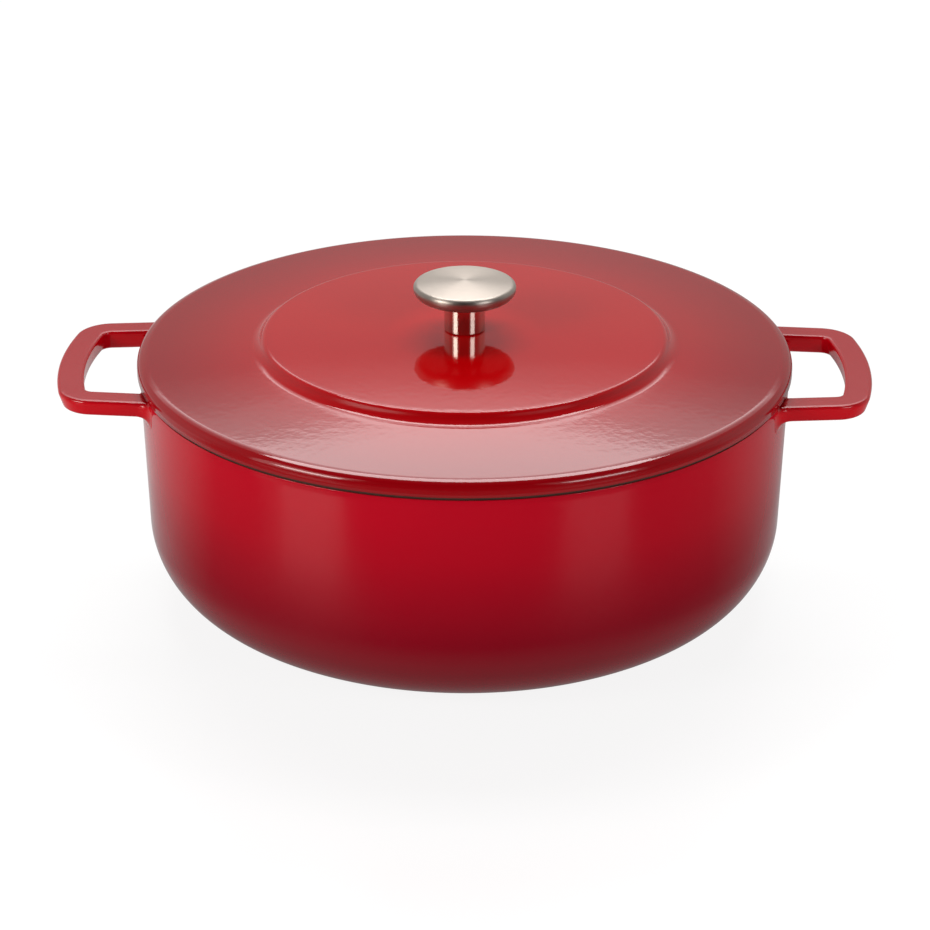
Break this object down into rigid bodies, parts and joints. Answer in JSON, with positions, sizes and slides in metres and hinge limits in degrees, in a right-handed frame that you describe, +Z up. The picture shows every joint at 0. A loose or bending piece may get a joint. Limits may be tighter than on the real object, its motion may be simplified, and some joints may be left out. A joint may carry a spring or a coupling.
{
  "type": "dutch oven",
  "caption": "Round, low cast iron dutch oven with a red enamel coat, loop handles, a lift-off lid with a raised disc, and a turned steel knob.",
  "frame": {"origin": "on the surface that the oven stands on, under the centre of the pot", "axes": "+Z up, along the pot's axis; X through the two handles; Y across them"},
  "size_m": [0.3382, 0.272, 0.1358],
  "materials": {
    "red_enamel": "gloss",
    "pale_enamel": "gloss",
    "bare_iron": "matte",
    "brushed_steel": "satin",
    "polished_steel": "polished",
    "zinc_steel": "satin",
    "silicone": "matte"
  },
  "bodies": {
    "pot": {"pot_casting": "bare_iron", "pot_outer_enamel": "red_enamel", "pot_inner_enamel": "pale_enamel"},
    "lid": {"lid_casting": "bare_iron", "lid_outer_enamel": "red_enamel", "lid_inner_enamel": "pale_enamel", "knob_cap": "brushed_steel", "knob_stem": "polished_steel", "seal_washer": "silicone", "flat_washer": "zinc_steel", "lock_washer": "zinc_steel", "knob_screw": "zinc_steel"}
  },
  "joints": [
    {"name": "lid_lift", "type": "slide", "parent": "pot", "child": "lid", "axis": [0, 0, 1], "range_m": [0, 0.18]}
  ]
}
